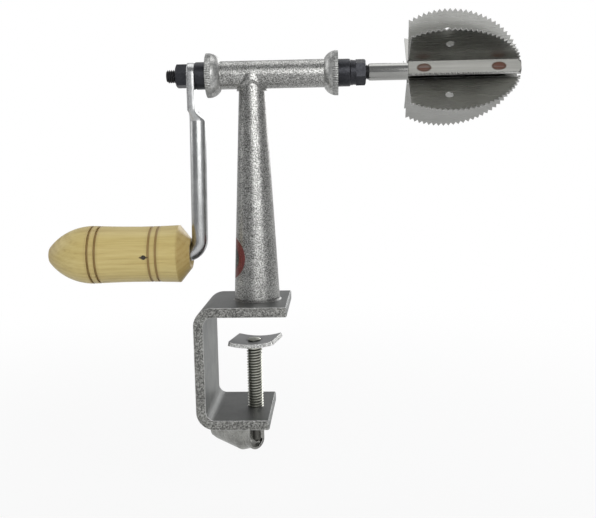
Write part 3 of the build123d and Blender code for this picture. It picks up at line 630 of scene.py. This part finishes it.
def blade_steel():
    """Brushed sheet, darker webs, painted highlight on folds, heat marks where it was welded."""
    blade = Finish("blade_stainless")
    brushed = blade.noise(blade.place(scale=(60, 1, 1)), 0.35 * MM, detail=2.0, rough=0.6)
    streaks = blade.noise(blade.place(scale=(40, 1, 1)), 1.6 * MM, detail=2.0)
    cloud = blade.noise(blade.place(), 11 * MM, detail=2.5)
    rounded, rim = blade.edges(0.25 * MM)
    colour = blade.blend((brushed * 0.5 + cloud * 0.5).above(0.5, 0.25),
                         (0.34, 0.34, 0.325), (0.42, 0.42, 0.405))
    colour = blade.blend(rim * 0.5, colour, (0.72, 0.72, 0.71))
    along, first, second = blade.axes(blade.place(
        location=(0, 0, SPINDLE_Z * MM), rotation=(radians(-BLADE_TURN), 0, 0)))
    first, second = first.math("ABSOLUTE") / MM, second.math("ABSOLUTE") / MM
    on_web = 1.0 - first.math("MAXIMUM", second).above(WEB_REACH, 0.15)
    side = first.math("MINIMUM", second)
    burn, ring = 0.0, 0.0
    for place in WELD_PLACES:
        reach, wide = (along / MM - place) / MARK_LONG, side / MARK_WIDE
        size = (reach * reach + wide * wide) ** 0.5 + cloud * 0.25 + brushed * 0.12
        burn = (1.0 - size.above(1.12, 0.12)) + burn
        ring = (1.0 - (size - 1.0).math("ABSOLUTE").above(0.12, 0.1)) + ring
    burn, ring = burn * on_web, ring * on_web
    mottle = 0.45 + streaks.above(0.47, 0.1) * 0.45
    fold_highlight = (1.0 - (side - FOLD_AT).math("ABSOLUTE").above(0.35, 0.3)) * on_web
    colour = blade.blend(on_web * (0.55 + streaks * 0.5), colour, (0.13, 0.13, 0.12))
    colour = blade.blend(burn * mottle, colour, (0.10, 0.026, 0.010))
    # Painted highlight: a bright line along each fold of the web.
    colour = blade.blend(fold_highlight * (0.35 + cloud * 0.7), colour, (0.85, 0.85, 0.83))
    colour = blade.blend(ring * 0.55, colour, (0.05, 0.03, 0.015))
    return blade.finish(
        Base_Color=colour, Roughness=0.32 - brushed * 0.08 + burn * 0.2 + on_web * 0.16,
        Metallic=1.0 - burn * 0.6,
        Normal=blade.bump(brushed, 0.006 * MM, strength=0.4, normal=rounded))


paint(blade_steel(), "blade_1", "blade_2", "blade_3", "blade_4")

# %% [markdown]
# ## Thread cutter and lathe
# A thread could be relief in the finish, but its outline shows against the white, so it is cut in
# the mesh. One pitch of outline is spun with a step along the axis. The rod is cut to length with
# two planes, and its ends are then pressed into the chamfer's cone, so that the thread runs out
# as it does on a real stud. Plain lengths of rod are turned beside it, into the same piece.

# %% Thread cutter and lathe
THREAD_STEPS = 36
THREAD_DEPTH = 0.61
THREAD_MERGE = 0.004


def add_closed(bm, part):
    """Put a closed part into a piece."""
    mesh = bpy.data.meshes.new("part")
    part.to_mesh(mesh)
    part.free()
    bm.from_mesh(mesh)
    bpy.data.meshes.remove(mesh)


def thread(bm, start, end, radius, pitch, chamfer):
    """A threaded rod along Z from start to end, closed at both ends."""
    root = radius - THREAD_DEPTH * pitch
    turns = int((end - start) / pitch) + 3
    first = start - 1.5 * pitch
    groove = [(root, 0.0), (root, 0.10), (radius, 0.40), (radius, 0.60), (root, 0.90), (root, 1.0)]
    rod = bmesh.new()
    bmesh.ops.spin(rod, geom=outline(rod, [(x, share * pitch + first) for x, share in groove]),
                   cent=(0, 0, 0), axis=(0, 0, 1), dvec=(0, 0, pitch / THREAD_STEPS),
                   angle=2 * pi * turns, steps=THREAD_STEPS * turns, use_merge=False)
    bmesh.ops.remove_doubles(rod, verts=rod.verts, dist=THREAD_MERGE)
    for height, side in ((start, -1), (end, 1)):
        bmesh.ops.bisect_plane(rod, geom=rod.verts[:] + rod.edges[:] + rod.faces[:],
                               plane_co=(0, 0, height), plane_no=(0, 0, side), clear_outer=True)
    for vert in rod.verts:
        room = min(vert.co.z - start, end - vert.co.z)
        limit = radius - chamfer + room if chamfer else radius
        around = sqrt(vert.co.x**2 + vert.co.y**2)
        if around > limit:
            vert.co.x *= limit / around
            vert.co.y *= limit / around
    close_and_face(rod)
    add_closed(bm, rod)


def lathe(bm, points):
    """A turned solid about Z, from (radius, height) points that start and end on the axis."""
    part = bmesh.new()
    turn(part, points)
    bmesh.ops.recalc_face_normals(part, faces=part.faces)
    add_closed(bm, part)


print("thread cutter ready,", THREAD_STEPS, "steps a turn")

# %% [markdown]
# ## Spindle
# The visible part of the spindle is a ground steel shaft, and the rest of it is threaded and
# blackened: a stud for the crank's nut on the left, and a thread for the cone and the lock nut on
# the right. It is modelled upright about Z, then turned to lie along the spindle's axis, and it
# stands for the CAD axle, which is plain. Grinding leaves lines round a shaft, so its noise is
# squeezed along X.

# %% Threaded axle
STUD_R, STUD_PITCH, STUD_CHAMFER = 4.0, 1.25, 0.8
CONE_THREAD_R, CONE_THREAD_PITCH = 4.5, 1.0
CORE_R, EYE_SEAT_R, CONE_SEAT_R = 3.2, 3.98, 4.1
SHAFT_R, SHAFT_CHAMFER = 5.15, 0.8


def shaft_finish(bare_from):
    """Ground steel from bare_from onwards, and blackened thread before it."""
    shaft = Finish("axle_steel")
    ground = shaft.noise(shaft.place(scale=(1, 8, 8)), 0.4 * MM, detail=2.0, rough=0.6)
    cloud = shaft.noise(shaft.place(), 7 * MM, detail=2.0)
    bare = (shaft.axes(shaft.place())[0] / MM).above(bare_from, 0.15)
    colour = shaft.blend(ground * 0.4 + cloud * 0.6, (0.30, 0.30, 0.288), (0.43, 0.43, 0.415))
    colour = shaft.blend(bare, (0.03, 0.03, 0.032), colour)
    return shaft.finish(Base_Color=colour, Metallic=0.6 + bare * 0.4, Roughness=0.42 - bare * 0.2,
                        Normal=shaft.bump(ground, 0.004 * MM, strength=0.4))


stud_end, shaft_end = low("axle").x, high("axle").x
nut_left, nut_right = low("crank_nut").x, high("crank_nut").x
cone_left, washer_left = low("cone_left").x, low("key_washer").x
thread_end = high("lock_nut").x + 1.8
axle = bmesh.new()
thread(axle, stud_end, nut_right - 0.5, STUD_R, STUD_PITCH, STUD_CHAMFER)
thread(axle, washer_left + 0.5, thread_end, CONE_THREAD_R, CONE_THREAD_PITCH, 0.0)
lathe(axle, [(0, nut_left + 1.5), (CORE_R, nut_left + 1.5), (CORE_R, thread_end - 1),
             (0, thread_end - 1)])
lathe(axle, [(0, nut_right - 0.6), (EYE_SEAT_R, nut_right - 0.6), (EYE_SEAT_R, cone_left),
             (CONE_SEAT_R, cone_left), (CONE_SEAT_R, washer_left + 0.6), (0, washer_left + 0.6)])
lathe(axle, [(0, thread_end), (SHAFT_R - 0.4, thread_end), (SHAFT_R, thread_end + 0.8),
             (SHAFT_R, shaft_end - SHAFT_CHAMFER), (SHAFT_R - SHAFT_CHAMFER, shaft_end),
             (0, shaft_end)])
bmesh.ops.rotate(axle, cent=(0, 0, 0), matrix=Matrix.Rotation(pi / 2, 3, "Y"), verts=axle.verts)
bmesh.ops.translate(axle, vec=(0, 0, SPINDLE_Z), verts=axle.verts)
axle_finish = shaft_finish(thread_end + 0.2)
make_piece("threaded_axle", axle, "rotor", axle_finish, ["axle"])

# %% [markdown]
# ## Clamp screw
# A long steel screw with a cut thread that shows almost along its whole length. Its top is a neck
# and a head that was hammered over to hold the pad, and below the lower arm it is turned down to
# the tenon that the lever is tacked to. The distance from the screw's axis tells the finish where
# the crests are, which are rubbed bright, and where the root is, which is darkened as painted
# shade. The tenon is darkened as painted shade too.

# %% Clamp screw
SCREW_R, SCREW_PITCH, SCREW_CHAMFER = 5.0, 1.8, 0.7
THREAD_TOP, FULL_END = -25.1, -73.9
HEAD_Z, SHOULDER_Z = -20.3, -24.1
NECK_R, TENON_R, TENON_TIP_R = 3.0, 2.7, 0.6


def screw_finish():
    """Oiled steel: bright crests, and painted shade in the thread's root and on the tenon."""
    skin = Finish("screw_steel")
    fine = skin.noise(skin.place(scale=(4, 4, 1)), 0.6 * MM, detail=2.0, rough=0.6)
    cloud = skin.noise(skin.place(), 5 * MM, detail=2.0)
    x, y, z = skin.axes(skin.place())
    crest = ((x * x + y * y) ** 0.5 / MM).above(4.35, 0.4)
    plain = (z / MM).above(THREAD_TOP - 0.5, 0.3)
    above_tenon = (z / MM).above(FULL_END, 0.3)
    colour = skin.blend(fine * 0.4 + cloud * 0.6, (0.55, 0.555, 0.49), (0.74, 0.745, 0.68))
    # Painted shade: the thread's root is darkened.
    colour = skin.blend(crest.math("MAXIMUM", plain), (0.085, 0.084, 0.072), colour)
    # Painted shade: the tenon is darkened.
    colour = skin.blend(above_tenon, (0.10, 0.098, 0.088), colour)
    return skin.finish(Base_Color=colour, Metallic=0.65 + crest * 0.35,
                       Roughness=0.5 - crest * 0.2,
                       Normal=skin.bump(fine, 0.01 * MM, strength=0.5))


screw_top, screw_end = high("clamp_screw").z, low("clamp_screw").z
screw = bmesh.new()
thread(screw, FULL_END, THREAD_TOP + 0.6, SCREW_R, SCREW_PITCH, SCREW_CHAMFER)
lathe(screw, [(0, SHOULDER_Z), (SCREW_R - 0.4, SHOULDER_Z), (SCREW_R, SHOULDER_Z - 0.4),
              (SCREW_R, THREAD_TOP), (SCREW_R - 0.8, THREAD_TOP - 0.9), (0, THREAD_TOP - 0.9)])
lathe(screw, [(0, SHOULDER_Z - 0.5), (NECK_R, SHOULDER_Z - 0.5), (NECK_R, HEAD_Z - 0.2),
              (0, HEAD_Z - 0.2)])
lathe(screw, [(0, HEAD_Z - 0.3), (NECK_R, HEAD_Z - 0.3), (4.1, HEAD_Z - 0.05),
              (4.25, HEAD_Z + 0.2), (3.9, HEAD_Z + 0.55), (2.9, HEAD_Z + 0.85),
              (1.5, HEAD_Z + 1.1), (0, screw_top)])
lathe(screw, [(0, FULL_END + 0.5), (TENON_R, FULL_END + 0.5), (TENON_R, screw_end + 2.1),
              (TENON_TIP_R, screw_end), (0, screw_end)])
make_piece("threaded_clamp_screw", screw, "screw", screw_finish(), ["clamp_screw"])

# %% [markdown]
# ## Pad and lever
# The pad is a sheared square of plate, dished so that its corners bite into the table. Its broad
# faces keep the grey rolling skin, the sheared edges are bright and rough, and it is darker round
# the rivet. As on the strap, the direction a face looks in tells broad faces from edges. The
# lever is folded sheet with the same skin, worn bright on its folds.

# %% Pad and lever
RIVET_RING_R = 5.4


def pad_finish():
    """Dark rolling skin on the broad faces, bright sheared edges, and darker round the rivet."""
    plate = Finish("pad_steel", Metallic=0.9)
    fleck = plate.noise(plate.place(), 0.9 * MM, detail=3.0, rough=0.7)
    cloud = plate.noise(plate.place(), 7 * MM, detail=2.0)
    rounded, rim = plate.edges(0.35 * MM)
    x, y, z = plate.axes(plate.place())
    upward = plate.axes(plate.node("ShaderNodeNewGeometry", output="Normal"))[2]
    sheared = 1.0 - upward.math("ABSOLUTE").above(0.6, 0.15)
    rivet = 1.0 - ((x * x + y * y) ** 0.5 / MM).above(RIVET_RING_R, 0.9)
    torn = plate.ramp(fleck, (0.40, (0.30, 0.30, 0.29)), (0.50, (0.72, 0.72, 0.70)),
                      (0.60, (0.90, 0.90, 0.88)))
    colour = plate.blend(fleck * 0.3 + cloud * 0.7, (0.13, 0.132, 0.134), (0.27, 0.272, 0.272))
    # Darker round the rivet.
    colour = plate.blend(rivet * 0.8, colour, (0.03, 0.03, 0.03))
    colour = plate.blend(sheared, colour, torn)
    colour = plate.blend(rim * 0.4, colour, (0.8, 0.8, 0.79))
    relief = plate.bump(fleck * (0.3 + sheared), 0.08 * MM, strength=0.5, normal=rounded)
    return plate.finish(Base_Color=colour, Roughness=0.36 - fleck * 0.08 + sheared * 0.15,
                        Normal=relief)


paint(pad_finish(), "swivel_pad")
paint(steel("lever_steel", (0.22, 0.22, 0.208), (0.42, 0.42, 0.395), 0.30, grain=1.0,
            relief=0.006, edge=0.5, worn=(0.72, 0.72, 0.70), round_off=0.45, blotch=9.0),
      "thumb_lever", "lever_tacks")

# %% [markdown]
# ## Round sticker
# A plain red disc with a dark centre is stuck on the post, and bends with the post's cone. It
# could be a patch of colour in the post's paint, but a film has an edge that catches light. It
# starts as a flat disc of rings, and each point is then moved onto the cone: its sideways distance
# becomes an angle round the post, so the disc keeps its size.

# %% Sticker
STICKER_R, STICKER_Z, STICKER_TURN = 12.9, 33.0, 7.0
STICKER_THICK, STICKER_LIFT, STICKER_RINGS = 0.12, 0.03, 12
CENTRE_SHARE, LINE_SHARE = 0.56, 0.58
post_low, post_high = low("tapered_post"), high("tapered_post")
POST_X = (post_low.x + post_high.x) / 2
POST_FOOT_R = (post_high.x - post_low.x) / 2
POST_HEAD_R = 7.7
POST_TAPER = (POST_FOOT_R - POST_HEAD_R) / (SPINDLE_Z - post_low.z)


def post_radius(height):
    """Radius of the post's cone at a height. POST_HEAD_R is its radius level with the spindle."""
    return POST_FOOT_R - (height - post_low.z) * POST_TAPER


def sticker_finish():
    """Red printed ring round a dark centre, a little worn, under a thin gloss film."""
    film = Finish("sticker_print", Coat_Roughness=0.2, IOR=1.5)
    wear = film.noise(film.place(), 1.3 * MM, detail=3.0, rough=0.7)
    blot = film.noise(film.place(), 3.2 * MM, detail=1.0)
    x, y, z = film.axes(film.place(location=(POST_X * MM, 0, STICKER_Z * MM)))
    angle = (-y).math("ARCTAN2", -x) - radians(STICKER_TURN)
    around = angle * post_radius(STICKER_Z)
    away = (around * around + z * z / MM / MM) ** 0.5 / STICKER_R
    centre = 1.0 - away.above(CENTRE_SHARE, 0.02)
    line = 1.0 - (away - LINE_SHARE).math("ABSOLUTE").above(0.025, 0.015)
    red = film.blend(wear.above(0.5, 0.2), (0.085, 0.012, 0.012), (0.17, 0.022, 0.018))
    dark = film.blend(blot.above(0.55, 0.08), (0.012, 0.013, 0.012), (0.09, 0.12, 0.095))
    colour = film.blend(centre, red, dark)
    colour = film.blend(line * 0.6, colour, (0.02, 0.012, 0.01))
    colour = film.blend(wear.above(0.64, 0.03) * 0.5, colour, (0.32, 0.29, 0.27))
    return film.finish(Base_Color=colour, Roughness=0.42 + wear * 0.15, Coat_Weight=0.25,
                       Normal=film.bump(wear, 0.03 * MM, strength=0.3))


disc = bmesh.new()
turn(disc, [(STICKER_R * step / STICKER_RINGS, 0.0) for step in range(STICKER_RINGS + 1)])
for vert in disc.verts:
    across, height = vert.co.x, STICKER_Z + vert.co.y
    radius = post_radius(height) + STICKER_LIFT
    angle = radians(STICKER_TURN) + across / radius
    vert.co = Vector((POST_X - radius * cos(angle), -radius * sin(angle), height))
bmesh.ops.recalc_face_normals(disc, faces=disc.faces)
bmesh.ops.solidify(disc, geom=disc.faces[:], thickness=STICKER_THICK)
bmesh.ops.recalc_face_normals(disc, faces=disc.faces)
make_piece("round_sticker", disc, "stand", sticker_finish())
